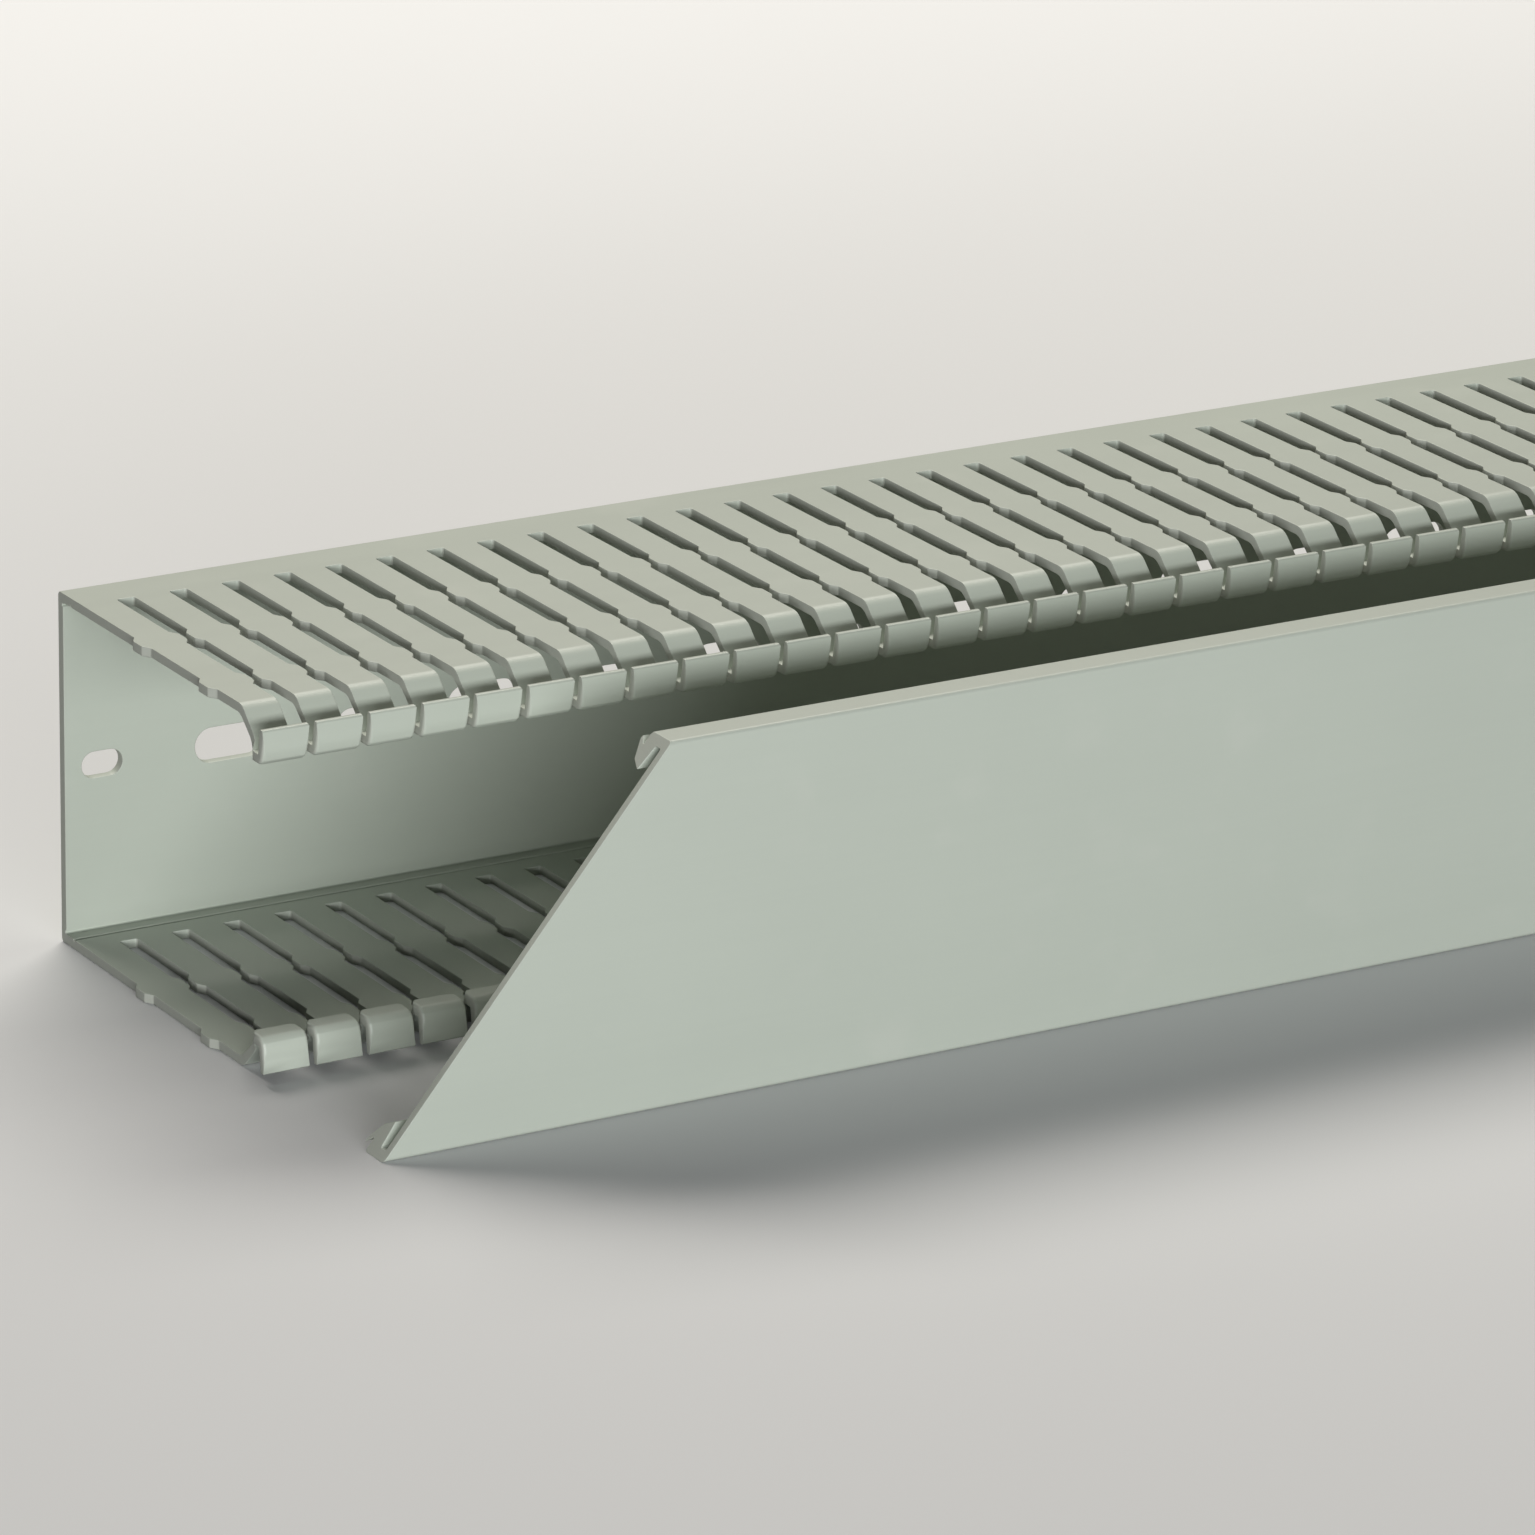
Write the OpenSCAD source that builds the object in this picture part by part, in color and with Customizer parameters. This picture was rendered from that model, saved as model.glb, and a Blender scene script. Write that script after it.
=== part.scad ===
// Slotted wire duct, 80 x 100 mm, one metre length with its clip-on cover.
// The duct lies on one slotted side wall, as it would unheld on a floor.
// X runs along the length, the open mouth faces -Y and +Z is up.
// The origin is the middle of the duct's flat back face.

/* [Duct] */
// Number of fingers along each side wall
finger_count = 80; // [8:1:80]
// Distance from one finger to the next
finger_pitch = 12.5; // [12:0.1:14]
// Outer width of the duct over its two side walls
duct_w = 80; // [60:1:120]
// Depth from the back face to the front of the finger heads
duct_d = 97.8; // [96:0.1:110]
// Thickness of the perforated back wall
back_t = 2.4; // [2:0.1:3]
// Thickness of the slotted side walls
wall_t = 2.2; // [1.8:0.1:2.4]

/* [Fingers] */
// Width of a finger between two slots
finger_w = 8.3; // [7.8:0.1:9]
// Height where the slots start, from the back face
slot_start = 11.5; // [8:0.1:16]
// Height of the lower and the upper pair of retaining bumps, from the back face
bump_from = [36.4, 66.9]; // [30:0.1:76]
// Length of a bump along its finger
bump_len = 8.2; // [6:0.1:9]
// How far a bump stands out of the finger's edge
bump_out = 1.3; // [0.8:0.1:1.4]
// Gap between two neighbouring finger heads
head_gap = 1.7; // [1.2:0.1:2.5]
// Height of the score line along which fingers are broken off
score_at = 6; // [5:0.5:7]

/* [Finger heads] */
// Height where a finger bends inwards, from the back face
bend_at = 86; // [85.5:0.1:86.5]
// Depth of the cover's gutter below the wall's outer face
gutter_depth = 7.8; // [7.5:0.1:9]
// How far the free tip of a head lies below the wall's outer face
tip_drop = 2.2; // [2.2:0.1:2.4]
// Thickness of a head at its free tip
tip_t = 1.4; // [1.2:0.1:1.5]

/* [Back wall slots] */
// Distance from one large slot to the next, with a small one between
back_pitch = 62.5; // [50:12.5:75]
// Length and width of a small slot
small_slot = [9.8, 6]; // [4:0.2:16]
// Length and width of a large slot
large_slot = [17.6, 8]; // [6:0.2:20]
// Centre of the first small slot, from the duct's left end
small_first = 9; // [8:0.5:12]

/* [Cover] */
// Thickness of the cover's sheet
cover_t = 1.9; // [1.6:0.1:2.2]
// Thickness of the flange where the groove for the finger heads runs
flange_t = 1.9; // [1.6:0.1:1.9]
// Length cut away at the top of the cover's mitred left end
mitre_run = 66.5; // [60:0.5:80]
// Distance that the cover stands in front of its closed place
cover_off = 48; // [48:1:80]

/* [Hidden] */

length = finger_count * finger_pitch;
left_end = -length / 2;
right_end = length / 2;
slot_w = finger_pitch - finger_w;
half_w = duct_w / 2;
bump_ramp = bump_len / 4;
corner_r = 1;
score_d = 0.5;
play = 0.3;
// Where a finger's neck ends and the gutter's floor starts
neck_y = bend_at + 6.7;
tip_y = duct_d - tip_t;
cover_front = duct_d + play + cover_t;
past = 1;
pvc = [0.69, 0.72, 0.66];

function reversed(points) = [for (i = [len(points) - 1 : -1 : 0]) points[i]];
function flipped_x(points) = [for (point = points) [-point[0], point[1]]];
function flipped_y(points) = [for (point = points) [point[0], -point[1]]];
function moved_x(points, by) = [for (point = points) [point[0] + by, point[1]]];

// ---- slotted channel ----

// Upper half of the channel's section: x is the distance from the back
// face and y the height above the middle of the duct. The finger bends
// inwards, and its head turns back outwards to hold the cover's hook.
function below(drop) = half_w - drop;
back_corner = [for (i = [0 : 4])
    [corner_r * (1 - cos(i * 22.5)), below(corner_r * (1 - sin(i * 22.5)))]];
outer_half = concat(back_corner, [
    [bend_at, below(0)], [bend_at + 5.2, below(5)], [neck_y, below(gutter_depth)],
    [tip_y - 0.8, below(gutter_depth)], [tip_y, below(tip_drop)],
    [duct_d - 0.4, below(tip_drop)], [duct_d, below(tip_drop + 0.4)],
    [duct_d, below(gutter_depth)], [duct_d - 1.3, below(gutter_depth + 2.4)]
]);
inner_half = [
    [neck_y - 1.3, below(gutter_depth + 2.4)], [bend_at + 4, below(6.4)],
    [bend_at - 0.9, below(wall_t)],
    [score_at + score_d, below(wall_t)], [score_at, below(wall_t - score_d)],
    [score_at - score_d, below(wall_t)],
    [back_t, below(wall_t)], [back_t, below(wall_t + 0.2)],
    [back_t - 0.5, below(wall_t + 0.2)], [back_t - 0.5, below(wall_t + 0.8)],
    [back_t, below(wall_t + 0.8)]
];
half_section = concat(outer_half, inner_half);

module channel_section() {
    polygon(concat(half_section, reversed(flipped_y(half_section))));
}

// Right-hand edge of the gap between two fingers, measured from the
// gap's middle, from its closed end to past the heads.
function bump_points(from) = [
    [slot_w / 2, from],
    [slot_w / 2 - bump_out, from + bump_ramp],
    [slot_w / 2 - bump_out, from + bump_len - bump_ramp],
    [slot_w / 2, from + bump_len]
];
gap_edge = concat(
    [[slot_w / 2, slot_start]],
    bump_points(bump_from[0]), bump_points(bump_from[1]),
    [[slot_w / 2, neck_y - 1], [head_gap / 2, neck_y], [head_gap / 2, duct_d + past]]
);
function gap_at(i) = left_end + finger_w + slot_w / 2 + i * finger_pitch;

// The duct seen from above: a closed strip at the back and the fingers.
// The left end is cut at the edge of a finger and the right end where
// the next finger would start, so lengths butt with their pitch unbroken.
comb = concat(
    [[left_end, -past], [left_end, slot_start]],
    [for (point = moved_x(gap_edge, gap_at(-1))) if (point[1] > slot_start) point],
    [for (i = [0 : finger_count - 2]) each concat(
        reversed(moved_x(flipped_x(gap_edge), gap_at(i))),
        moved_x(gap_edge, gap_at(i))
    )],
    reversed(moved_x(flipped_x(gap_edge), gap_at(finger_count - 1))),
    [[right_end, slot_start], [right_end, -past]]
);

module back_slot(size) {
    r = size[1] / 2;
    run = size[0] / 2 - r;
    rotate([90, 0, 0]) translate([0, 0, -past]) {
        for (side = [-1, 1])
            translate([side * run, 0]) cylinder(r = r, h = back_t + 2 * past, $fn = 32);
        translate([-run, -r]) cube([2 * run, size[1], back_t + 2 * past]);
    }
}

module slotted_channel() {
    back_count = floor((length - small_first) / back_pitch + 0.5);
    color(pvc) difference() {
        intersection() {
            translate([left_end - slot_w, 0, 0])
                rotate([90, 0, 90]) mirror([1, 0])
                    linear_extrude(length + slot_w + past) channel_section();
            translate([0, 0, -half_w - past])
                linear_extrude(duct_w + 2 * past)
                    mirror([0, 1]) polygon(comb);
        }
        for (i = [0 : back_count - 1])
            translate([left_end + small_first + i * back_pitch, 0, 0]) {
                back_slot(small_slot);
                translate([back_pitch / 2, 0, 0]) back_slot(large_slot);
            }
    }
}

// ---- cover ----

// Upper half of the cover's section in its closed place. Behind the
// flange a hook lies in the gutter, its front face forms a groove with
// the sheet for the finger heads, and a barb points back along the neck.
cover_outer = [
    [cover_front - 0.6, below(0)], [cover_front - 7.4, below(0)],
    [cover_front - 7.9, below(0.5)], [cover_front - 7.9, below(2.7)],
    [cover_front - 9.9, below(1.3)], [cover_front - 10.1, below(1.9)],
    [cover_front - 7.7, below(5.3)], [cover_front - 4.7, below(6.6)],
    [cover_front - cover_t - 2, below(flange_t)],
    [cover_front - cover_t, below(flange_t)]
];

module cover() {
    color(pvc) difference() {
        translate([left_end, -cover_off, 0])
            rotate([90, 0, 90]) mirror([1, 0]) linear_extrude(length)
                polygon(concat(
                    [[cover_front, below(0.6)]], cover_outer, reversed(flipped_y(cover_outer)),
                    [[cover_front, -below(0.6)]]
                ));
        // The left end is cut on a slant, longest at the bottom edge.
        translate([left_end, past, 0]) rotate([90, 0, 0])
            linear_extrude(cover_front + cover_off + 2 * past)
                polygon([
                    [0, -half_w], [mitre_run, half_w], [mitre_run, half_w + past],
                    [-past, half_w + past], [-past, -half_w - past], [0, -half_w - past]
                ]);
    }
}

slotted_channel();
cover();
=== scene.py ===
"""Slotted wire duct and its clip-on cover: finished shapes, materials and stage."""
import math

import bpy
import numpy as np
from bpy.props import FloatProperty, FloatVectorProperty, IntProperty, PointerProperty
from mathutils import Matrix, Vector


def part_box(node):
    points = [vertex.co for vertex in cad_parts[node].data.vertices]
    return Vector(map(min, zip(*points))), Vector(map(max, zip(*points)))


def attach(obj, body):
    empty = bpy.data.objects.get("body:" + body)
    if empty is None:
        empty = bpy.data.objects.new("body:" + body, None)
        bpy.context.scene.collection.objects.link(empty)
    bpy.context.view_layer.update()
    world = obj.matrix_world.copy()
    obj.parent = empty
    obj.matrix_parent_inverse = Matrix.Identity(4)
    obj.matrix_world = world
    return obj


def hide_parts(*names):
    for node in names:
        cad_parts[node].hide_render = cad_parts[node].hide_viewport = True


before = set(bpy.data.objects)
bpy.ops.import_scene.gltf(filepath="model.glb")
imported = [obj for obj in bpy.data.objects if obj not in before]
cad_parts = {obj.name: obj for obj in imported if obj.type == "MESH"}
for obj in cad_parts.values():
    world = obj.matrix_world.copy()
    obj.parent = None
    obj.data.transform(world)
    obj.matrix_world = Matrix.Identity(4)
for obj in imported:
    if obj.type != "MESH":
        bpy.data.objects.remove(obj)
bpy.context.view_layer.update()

bl_info = {
    "name": "Slotted Wire Duct",
    "version": (1, 0, 0),
    "blender": (4, 5, 0),
    "location": "View3D > Sidebar > Wire Duct",
    "description": "Finishes a slotted wire duct and its clip-on cover",
    "category": "Object",
}

MM = 0.001

# The duct's section as the CAD model has it. Each corner is given by its
# distance from the back face and its depth below the side wall's outer face.
DUCT_LOW, DUCT_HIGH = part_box("slotted_channel")
COVER_LOW, COVER_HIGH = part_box("cover")
HALF_WIDTH = DUCT_HIGH.z


# ---- sizes and colours -------------------------------------------------


def length(name, description, default_mm, **extra):
    """A length property that is written in millimetres and shown in scene units."""
    return FloatProperty(
        name=name, description=description, default=default_mm * MM, min=0.0,
        subtype="DISTANCE", unit="LENGTH", precision=5, **extra,
    )


def colour(name, description, default):
    """A linear RGB colour property."""
    return FloatVectorProperty(
        name=name, description=description, default=default, size=3,
        min=0.0, max=1.0, subtype="COLOR",
    )


class DuctShape(bpy.types.PropertyGroup):
    """Roundings of the slotted channel."""

    bend_round: length("Finger bend", "Setback of the round where a finger bends inwards", 1.5)
    neck_round: length("Neck", "Setback of the round where the neck meets the gutter", 0.6)
    head_round: length("Head underside", "Setback of the round under a finger head", 1.25)
    head_corner: length("Head corner", "Setback of the rounds at a head's lower corners", 0.9)
    tip_round: length("Head tip", "Setback of the round along a head's free tip", 0.3)
    bump_round: length("Retaining bump", "Setback of the rounds on a retaining bump", 0.25)
    slot_round: length("Slot root", "Setback of the rounds at a slot's closed end", 0.6)
    edge_round: length("Punched edge", "Width of the fine round along every other edge", 0.16)


class CoverShape(bpy.types.PropertyGroup):
    """Roundings of the cover."""

    sheet_round: length("Sheet edge", "Setback of the round along the sheet's long edges", 0.35)
    hook_round: length("Hook", "Setback of the rounds along the hooks", 0.35)
    groove_round: length("Groove", "Setback of the rounds inside the hooks' grooves", 0.4)
    edge_round: length("Sawn edge", "Width of the fine round along every other edge", 0.12)


class PvcFinish(bpy.types.PropertyGroup):
    """Colours and surface of the extruded PVC."""

    duct_colour: colour("Duct colour", "Grey-green of the channel", (0.462, 0.509, 0.445))
    cover_colour: colour("Cover colour", "Grey-green of the cover", (0.466, 0.514, 0.452))
    cut_colour: colour("Cut colour", "Paler tone of punched and sawn faces", (0.470, 0.480, 0.430))
    roughness: FloatProperty(
        name="Roughness", description="Roughness of the extruded surface",
        default=0.46, min=0.0, max=1.0, subtype="FACTOR",
    )
    streaks: FloatProperty(
        name="Draw lines", description="Strength of the fine lines that the die leaves",
        default=0.35, min=0.0, max=1.0, subtype="FACTOR",
    )


class StageLook(bpy.types.PropertyGroup):
    """Floor, lights and camera."""

    floor_colour: colour("Floor", "Colour of the floor and backdrop", (0.80, 0.81, 0.83))
    floor_radius: FloatProperty(
        name="Floor radius", description="Radius of the flat floor",
        default=5.0, min=1.0, subtype="DISTANCE", unit="LENGTH",
    )
    key_power: FloatProperty(
        name="Key light", description="Power of the large soft lamp in front", default=67.0,
        min=0.0, unit="POWER",
    )
    top_power: FloatProperty(
        name="Top light", description="Power of the soft lamp overhead", default=60.0,
        min=0.0, unit="POWER",
    )
    backdrop_sides: IntProperty(
        name="Backdrop sides", description="Sides of the round backdrop", default=96, min=16,
    )


# ---- modelling helpers -------------------------------------------------


def take(piece):
    """Makes the piece the only selected object and the active one."""
    bpy.ops.object.select_all(action="DESELECT")
    piece.select_set(True)
    bpy.context.view_layer.objects.active = piece


def section_places(piece):
    """Vertex places in millimetres: along the duct, from its back face, below its outer face."""
    flat = np.empty(len(piece.data.vertices) * 3)
    piece.data.vertices.foreach_get("co", flat)
    places = flat.reshape(-1, 3)
    return np.column_stack([
        places[:, 0] / MM, -places[:, 1] / MM, (HALF_WIDTH - np.abs(places[:, 2])) / MM,
    ])


def edge_ends(piece):
    """Index pairs of the piece's edges."""
    flat = np.empty(len(piece.data.edges) * 2, dtype=np.int32)
    piece.data.edges.foreach_get("vertices", flat)
    return flat.reshape(-1, 2)


def select_edges(piece, chosen):
    """Leaves the piece in edit mode with just those edges selected."""
    take(piece)
    bpy.ops.object.mode_set(mode="EDIT")
    bpy.ops.mesh.select_mode(type="EDGE")
    bpy.ops.mesh.select_all(action="DESELECT")
    bpy.ops.object.mode_set(mode="OBJECT")
    piece.data.edges.foreach_set("select", chosen)
    bpy.ops.object.mode_set(mode="EDIT")


def round_long_edges(piece, corners, setback, segments, shift=0.0, tolerance=0.02):
    """Rounds the edges along the duct that pass through the given section corners."""
    places = section_places(piece)
    ends = edge_ends(piece)
    hit = np.zeros(len(places), dtype=bool)
    for back, depth in corners:
        hit |= (np.abs(places[:, 1] - back - shift) < tolerance) & (
            np.abs(places[:, 2] - depth) < tolerance)
    along = np.abs(places[ends[:, 0], 0] - places[ends[:, 1], 0]) > tolerance
    same = np.all(np.abs(places[ends[:, 0], 1:] - places[ends[:, 1], 1:]) < tolerance, axis=1)
    heights = np.array([vertex.co.z for vertex in piece.data.vertices])
    same &= heights[ends[:, 0]] * heights[ends[:, 1]] > 0
    chosen = hit[ends[:, 0]] & hit[ends[:, 1]] & along & same
    if not chosen.any():
        raise RuntimeError(f"{piece.name} has no edge through the corners {corners}")
    select_edges(piece, chosen)
    bpy.ops.mesh.bevel(offset=setback, segments=segments, affect="EDGES", clamp_overlap=False)
    bpy.ops.object.mode_set(mode="OBJECT")


def round_wall_edges(piece, backs, setback, segments, tolerance=0.02):
    """Rounds the short edges through the side walls' thickness at the given back distances."""
    places = section_places(piece)
    ends = edge_ends(piece)
    first, second = places[ends[:, 0]], places[ends[:, 1]]
    through = (np.abs(first[:, 2] - second[:, 2]) > 1.0) & np.all(
        np.abs(first[:, :2] - second[:, :2]) < tolerance, axis=1)
    level = np.zeros(len(ends), dtype=bool)
    for back in backs:
        level |= np.abs(first[:, 1] - back) < tolerance
    chosen = through & level
    if not chosen.any():
        raise RuntimeError(f"{piece.name} has no wall edge at {backs}")
    select_edges(piece, chosen)
    bpy.ops.mesh.bevel(offset=setback, segments=segments, affect="EDGES", clamp_overlap=False)
    bpy.ops.object.mode_set(mode="OBJECT")


def round_head_corners(piece, setback):
    """Rounds the lower left and right corners of every finger head."""
    places = section_places(piece)
    ends = edge_ends(piece)
    first, second = places[ends[:, 0]], places[ends[:, 1]]
    chosen = np.abs(first[:, 0] - second[:, 0]) < 0.01
    for end in (first, second):
        chosen &= (end[:, 1] > GUTTER_FLOOR[0][0] - 0.02) & (end[:, 2] > 4.0)
    middle = (first + second) / 2
    chosen &= (middle[:, 2] > GUTTER_FLOOR[0][1] + 0.1) | (middle[:, 1] > HEAD_TIP[2][0] - 0.3)
    chosen &= middle[:, 2] > HEAD_UNDERSIDE[0][1] - 1.3
    select_edges(piece, chosen)
    bpy.ops.mesh.bevel(offset=setback, segments=2, affect="EDGES", clamp_overlap=False)
    bpy.ops.object.mode_set(mode="OBJECT")


def merged_copy(node, name):
    """The piece's own copy of a CAD node's mesh, merged, with its flat faces made whole."""
    piece = bpy.data.objects.new(name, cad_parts[node].data.copy())
    piece.data.name = name
    piece.data.materials.clear()
    bpy.context.scene.collection.objects.link(piece)
    take(piece)
    bpy.ops.mesh.customdata_custom_splitnormals_clear()
    bpy.ops.object.mode_set(mode="EDIT")
    bpy.ops.mesh.select_all(action="SELECT")
    bpy.ops.mesh.remove_doubles(threshold=1e-6)
    bpy.ops.mesh.dissolve_limited(angle_limit=math.radians(0.5))
    bpy.ops.object.mode_set(mode="OBJECT")
    return piece


def fine_round(piece, width, sharper_than):
    """A fine round along every edge that turns more than an angle, applied, then smooth shading."""
    take(piece)
    bpy.ops.object.shade_smooth()
    fine = piece.modifiers.new("fine round", "BEVEL")
    fine.width = width
    fine.segments = 1
    fine.limit_method = "ANGLE"
    fine.angle_limit = math.radians(sharper_than)
    fine.use_clamp_overlap = False
    fine.miter_outer = "MITER_SHARP"
    bpy.ops.object.modifier_apply(modifier=fine.name)
    flat = piece.modifiers.new("flat faces", "WEIGHTED_NORMAL")
    flat.mode = "FACE_AREA"
    flat.weight = 100
    flat.thresh = 0.001
    bpy.ops.object.modifier_apply(modifier=flat.name)


# ---- materials ---------------------------------------------------------


class Flow:
    """A socket of a material, so that shader maths is written as maths."""

    def __init__(self, tree, socket=None):
        self.tree = tree
        self.socket = socket

    def add(self, kind, settings=None, sockets=None, out=0):
        """Adds a node with its settings and its sockets' values or links."""
        node = self.tree.nodes.new(kind)
        for name, value in (settings or {}).items():
            if name == "stops":
                ramp = node.color_ramp
                while len(ramp.elements) < len(value):
                    ramp.elements.new(0.5)
                for element, (place, shade) in zip(ramp.elements, value):
                    element.position = place
                    element.color = (*shade, 1.0)
            else:
                setattr(node, name, value)
        for name, value in (sockets or {}).items():
            if isinstance(value, Flow):
                self.tree.links.new(value.socket, node.inputs[name])
            else:
                node.inputs[name].default_value = value
        return Flow(self.tree, node.outputs[out]) if node.outputs else None

    def _math(self, operation, first, second):
        return self.add("ShaderNodeMath", {"operation": operation}, {0: first, 1: second})

    def __add__(self, other):
        return self._math("ADD", self, other)

    __radd__ = __add__

    def __sub__(self, other):
        return self._math("SUBTRACT", self, other)

    def __rsub__(self, other):
        return self._math("SUBTRACT", other, self)

    def __mul__(self, other):
        return self._math("MULTIPLY", self, other)

    __rmul__ = __mul__

    def __abs__(self):
        return self.add("ShaderNodeMath", {"operation": "ABSOLUTE"}, {0: self})

    def step(self, low, high):
        """Rises smoothly from 0 at low to 1 at high."""
        return self.add(
            "ShaderNodeMapRange", {"interpolation_type": "SMOOTHSTEP"},
            {"Value": self, "From Min": low, "From Max": high},
        )

    def between(self, first, second):
        """Goes from the first colour at 0 to the second at 1."""
        return self.add(
            "ShaderNodeMix", {"data_type": "RGBA"}, {0: self, 6: first, 7: second}, out=2)


def rgba(shade, gain=1.0):
    """A colour property as the four numbers of a colour socket."""
    return (*[min(1.0, part * gain) for part in shade], 1.0)


def new_material(name):
    """An empty node material, as its material and a flow to build it from."""
    material = bpy.data.materials.new(name)
    material.use_nodes = True
    material.node_tree.nodes.clear()
    return material, Flow(material.node_tree)


def stretched_noise(flow, place, stretch, scale, detail=3.0, seed=0.0):
    """Noise on the piece's own coordinates, squeezed by a factor along each axis."""
    squeezed = flow.add(
        "ShaderNodeMapping", None,
        {"Vector": place, "Scale": stretch, "Location": (seed, seed * 0.7, seed * 1.3)})
    return flow.add(
        "ShaderNodeTexNoise", None,
        {"Vector": squeezed, "Scale": scale, "Detail": detail, "Roughness": 0.55})


def extruded_pvc(name, shade, finish):
    """Satin PVC with the die's draw lines, faint mottling, and paler cut faces."""
    material, flow = new_material(name)
    place = flow.add("ShaderNodeTexCoord", out="Object")
    facing = flow.add("ShaderNodeTexCoord", out="Normal")
    across_duct = abs(flow.add("ShaderNodeSeparateXYZ", None, {0: facing}, out="X"))
    cut = across_duct.step(0.55, 0.8)

    mottle = stretched_noise(flow, place, (1.0, 1.0, 1.0), 14.0, 2.0)
    draw_lines = stretched_noise(flow, place, (0.6, 60.0, 60.0), 22.0, 4.0, seed=3.0)
    broad_lines = stretched_noise(flow, place, (0.25, 12.0, 12.0), 9.0, 2.0, seed=7.0)
    grain = stretched_noise(flow, place, (1.0, 1.0, 1.0), 1900.0, 2.0, seed=1.0)
    chatter = stretched_noise(flow, place, (6.0, 1.0, 1.0), 900.0, 3.0, seed=5.0)
    dust = stretched_noise(flow, place, (1.0, 1.0, 1.0), 55.0, 6.0, seed=9.0).step(0.56, 0.8)

    lines = draw_lines * 0.6 + broad_lines * 0.4
    tone = (mottle - 0.5) * 0.5 + (lines - 0.5) * finish.streaks + 0.5
    body = tone.between(rgba(shade, 0.94), rgba(shade, 1.06))
    dusty = (dust * 0.10).between(body, rgba((0.62, 0.61, 0.57)))
    sawn = chatter.between(rgba(finish.cut_colour, 0.9), rgba(finish.cut_colour, 1.08))
    base = (cut * 0.55).between(dusty, sawn)

    roughness = finish.roughness + (lines - 0.5) * 0.16 + (mottle - 0.5) * 0.08
    roughness = roughness + dust * 0.10 + cut * 0.18
    relief = (lines - 0.5) * (1 - cut) * finish.streaks + (grain - 0.5) * 0.18
    relief = relief + (chatter - 0.5) * cut * 0.9
    bump = flow.add(
        "ShaderNodeBump", None, {"Strength": 0.25, "Distance": 0.00012, "Height": relief})
    shader = flow.add("ShaderNodeBsdfPrincipled", None, {
        "Base Color": base, "Roughness": roughness, "Normal": bump,
        "IOR": 1.53, "Specular IOR Level": 0.5,
    })
    flow.add("ShaderNodeOutputMaterial", None, {"Surface": shader})
    return material


def backdrop_material(name, shade):
    """A matte floor that looks pale to the camera and gives back less light."""
    material, flow = new_material(name)
    light_path = flow.add("ShaderNodeLightPath", out="Is Camera Ray")
    glossy = flow.add("ShaderNodeLightPath", out="Is Glossy Ray")
    seen = light_path + glossy
    surface = flow.add("ShaderNodeBsdfDiffuse", None, {
        "Color": seen.between(rgba(shade, 0.18), rgba(shade))})
    flow.add("ShaderNodeOutputMaterial", None, {"Surface": surface})
    return material


# ---- pieces ------------------------------------------------------------

# Section corners, as (distance from the back face, depth below the outer face).
BEND_OUTER = (86.0, 0.0)
NECK_OUTER = (91.2, 5.0)
GUTTER_FLOOR = [(92.7, 7.8), (95.6, 7.8)]
HEAD_TIP = [(96.4, 2.2), (97.4, 2.2), (97.8, 2.6)]
HEAD_UNDERSIDE = [(97.8, 7.8), (96.5, 10.2), (91.4, 10.2)]
NECK_INNER = (90.0, 6.4)
BEND_INNER = (85.1, 2.2)
BUMP_LEVELS = [36.4, 38.45, 42.55, 44.6, 66.9, 68.95, 73.05, 75.1]
SLOT_ROOT = 11.5

# The cover's corners are given the same way, with the cover closed.
SHEET_EDGE = [(99.4, 0.0), (100.0, 0.6)]
HOOK_CORNERS = [(92.6, 0.0), (92.1, 0.5), (90.1, 1.3), (89.9, 1.9), (92.3, 5.3), (95.3, 6.6)]
HOOK_GROOVE = [(92.1, 2.7), (96.1, 1.9), (98.1, 1.9)]
COVER_FRONT = 100.0


class WIREDUCT_OT_channel(bpy.types.Operator):
    """Finishes the slotted channel with its finger rows and finger heads"""

    bl_idname = "wire_duct.channel"
    bl_label = "Slotted Channel"

    def execute(self, context):
        shape = context.scene.duct_shape
        finish = context.scene.pvc_finish
        piece = merged_copy("slotted_channel", "duct_channel")
        round_wall_edges(piece, [SLOT_ROOT], shape.slot_round, 2)
        round_wall_edges(piece, BUMP_LEVELS, shape.bump_round, 1)
        round_long_edges(piece, [BEND_OUTER], shape.bend_round, 3)
        round_long_edges(piece, [BEND_INNER], shape.bend_round * 0.7, 2)
        round_long_edges(piece, [NECK_OUTER, NECK_INNER], shape.neck_round, 1)
        round_long_edges(piece, HEAD_UNDERSIDE[:2], shape.head_round, 2)
        round_long_edges(piece, HEAD_UNDERSIDE[2:], shape.head_round * 0.5, 1)
        round_head_corners(piece, shape.head_corner)
        fine_round(piece, shape.edge_round, 32.0)
        piece.data.materials.append(
            extruded_pvc("extruded_pvc_duct", finish.duct_colour, finish))
        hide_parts("slotted_channel")
        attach(piece, "channel")
        return {"FINISHED"}


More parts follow.
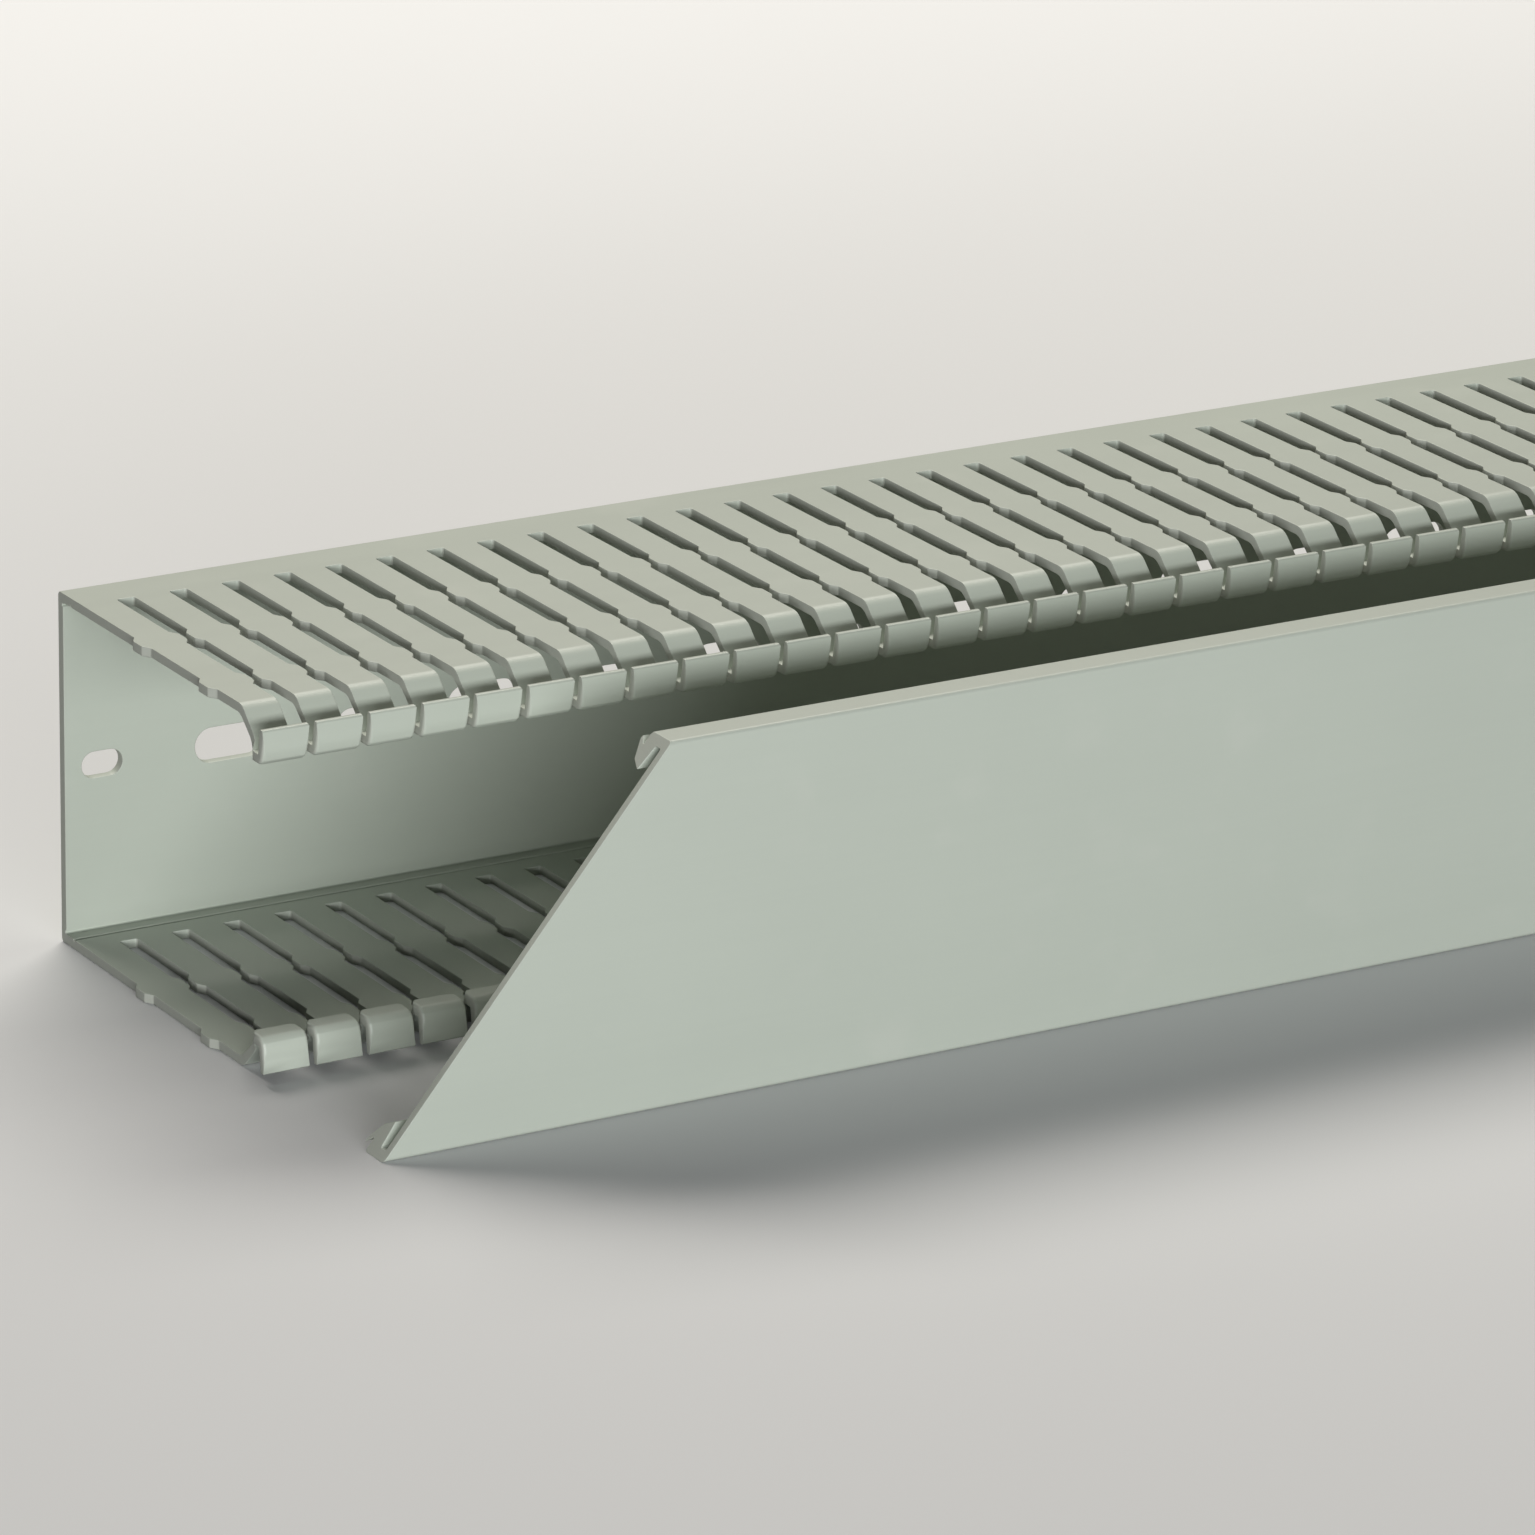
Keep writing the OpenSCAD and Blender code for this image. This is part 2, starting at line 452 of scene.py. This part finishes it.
class WIREDUCT_OT_cover(bpy.types.Operator):
    """Finishes the mitred cover with its hooks"""

    bl_idname = "wire_duct.cover"
    bl_label = "Clip-on Cover"

    def execute(self, context):
        shape = context.scene.cover_shape
        finish = context.scene.pvc_finish
        piece = merged_copy("cover", "clip_on_cover")
        shift = -COVER_LOW.y / MM - COVER_FRONT
        round_long_edges(piece, SHEET_EDGE, shape.sheet_round, 2, shift)
        round_long_edges(piece, HOOK_CORNERS, shape.hook_round * 0.6, 2, shift)
        round_long_edges(piece, HOOK_GROOVE, shape.groove_round, 2, shift)
        fine_round(piece, shape.edge_round, 32.0)
        piece.data.materials.append(
            extruded_pvc("extruded_pvc_cover", finish.cover_colour, finish))
        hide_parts("cover")
        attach(piece, "cover")
        return {"FINISHED"}


# ---- stage -------------------------------------------------------------

# The camera stands in front of the mouth, up and to the left of the duct.
CAMERA_PLACE = Vector((-1.25440, -1.55885, 0.59971))
CAMERA_AZIMUTH = -30.88
CAMERA_ELEVATION = 19.09
CAMERA_ROLL = 1.02
FRAME_WIDTHS_TO_FOCUS = 8468.68 / 1535
SENSOR = 36.0
LAMP_AIM = Vector((-0.2, -0.08, 0.0))


def camera_turn(azimuth, elevation, roll):
    """The camera's turn when it looks along an azimuth from +Y and down by an elevation."""
    azimuth, elevation, roll = (math.radians(a) for a in (azimuth, elevation, roll))
    ahead = Vector((
        -math.sin(azimuth) * math.cos(elevation),
        math.cos(azimuth) * math.cos(elevation),
        -math.sin(elevation)))
    right = Vector((math.cos(azimuth), math.sin(azimuth), 0.0))
    up = right.cross(ahead)
    turned_right = right * math.cos(roll) + up * math.sin(roll)
    turned_up = up * math.cos(roll) - right * math.sin(roll)
    return Matrix((turned_right, turned_up, -ahead)).transposed().to_4x4()


def soft_lamp(name, azimuth, elevation, distance, size, power, tint=(1.0, 1.0, 1.0)):
    """A large lamp that faces the duct from an azimuth round it and an elevation above it."""
    azimuth, elevation = math.radians(azimuth), math.radians(elevation)
    back = Vector((
        math.sin(azimuth) * math.cos(elevation),
        -math.cos(azimuth) * math.cos(elevation),
        math.sin(elevation)))
    bpy.ops.object.light_add(type="AREA", location=LAMP_AIM + back * distance)
    lamp = bpy.context.object
    lamp.name = name
    lamp.data.shape = "RECTANGLE"
    lamp.data.size, lamp.data.size_y = size
    lamp.data.energy = power
    lamp.data.color = tint
    lamp.rotation_euler = back.to_track_quat("Z", "Y").to_euler()
    lamp.visible_camera = False


class WIREDUCT_OT_stage(bpy.types.Operator):
    """Adds the floor with its backdrop, the lamps and the camera"""

    bl_idname = "wire_duct.stage"
    bl_label = "Stage"

    def execute(self, context):
        look = context.scene.stage_look
        floor_level = DUCT_LOW.z
        bpy.ops.object.select_all(action="DESELECT")
        bpy.ops.mesh.primitive_circle_add(
            vertices=look.backdrop_sides, radius=look.floor_radius, fill_type="NGON",
            location=(0.0, 0.0, floor_level))
        floor = context.object
        floor.name = "floor_and_backdrop"
        bpy.ops.object.mode_set(mode="EDIT")
        bpy.ops.mesh.select_all(action="DESELECT")
        bpy.ops.object.mode_set(mode="OBJECT")
        floor.data.edges.foreach_set("select", [True] * len(floor.data.edges))
        bpy.ops.object.mode_set(mode="EDIT")
        bpy.ops.mesh.select_mode(type="EDGE")
        for rise, spread in ((0.15, 1.05), (0.45, 1.03), (0.8, 1.015), (2.5, 1.0)):
            bpy.ops.mesh.extrude_region_move(
                TRANSFORM_OT_translate={"value": (0.0, 0.0, rise)})
            bpy.ops.transform.resize(
                value=(spread, spread, 1.0), center_override=(0.0, 0.0, 0.0))
        bpy.ops.object.mode_set(mode="OBJECT")
        bpy.ops.object.shade_smooth()
        floor.data.materials.append(backdrop_material("pale_floor", look.floor_colour))

        soft_lamp("key_lamp", -24.0, 6.5, 2.6, (2.0, 0.45), look.key_power)
        soft_lamp("top_lamp", 165.0, 50.0, 2.4, (2.2, 1.0), look.top_power, (1.0, 0.96, 0.88))

        world = bpy.data.worlds.new("soft_room")
        context.scene.world = world
        world.use_nodes = True
        background = world.node_tree.nodes["Background"]
        background.inputs["Color"].default_value = (0.9, 0.93, 1.0, 1.0)
        background.inputs["Strength"].default_value = 0.09

        bpy.ops.object.camera_add(location=CAMERA_PLACE)
        camera = context.object
        camera.name = "camera"
        camera.matrix_world = Matrix.Translation(CAMERA_PLACE) @ camera_turn(
            CAMERA_AZIMUTH, CAMERA_ELEVATION, CAMERA_ROLL)
        camera.data.sensor_width = SENSOR
        camera.data.lens = FRAME_WIDTHS_TO_FOCUS * SENSOR
        camera.data.clip_start = 0.05
        camera.data.clip_end = 50.0
        context.scene.camera = camera
        context.scene.view_settings.view_transform = "Standard"
        return {"FINISHED"}


# ---- add-on ------------------------------------------------------------

STEPS = (WIREDUCT_OT_channel, WIREDUCT_OT_cover, WIREDUCT_OT_stage)
SETTINGS = {
    "duct_shape": DuctShape,
    "cover_shape": CoverShape,
    "pvc_finish": PvcFinish,
    "stage_look": StageLook,
}


class WIREDUCT_PT_panel(bpy.types.Panel):
    """Lists the duct's pieces and its stage"""

    bl_idname = "WIREDUCT_PT_panel"
    bl_label = "Wire Duct"
    bl_space_type = "VIEW_3D"
    bl_region_type = "UI"
    bl_category = "Wire Duct"

    def draw(self, context):
        for step in STEPS:
            self.layout.operator(step.bl_idname)
        for name, group in SETTINGS.items():
            box = self.layout.box()
            box.label(text=group.__doc__)
            for field in group.__annotations__:
                box.prop(getattr(context.scene, name), field)


def register():
    for group in SETTINGS.values():
        bpy.utils.register_class(group)
    for name, group in SETTINGS.items():
        setattr(bpy.types.Scene, name, PointerProperty(type=group))
    for step in STEPS:
        bpy.utils.register_class(step)
    bpy.utils.register_class(WIREDUCT_PT_panel)


def unregister():
    bpy.utils.unregister_class(WIREDUCT_PT_panel)
    for step in reversed(STEPS):
        bpy.utils.unregister_class(step)
    for name, group in SETTINGS.items():
        delattr(bpy.types.Scene, name)
        bpy.utils.unregister_class(group)


def main():
    register()
    bpy.ops.wire_duct.channel()
    bpy.ops.wire_duct.cover()
    bpy.ops.wire_duct.stage()


if __name__ == "__main__":
    main()
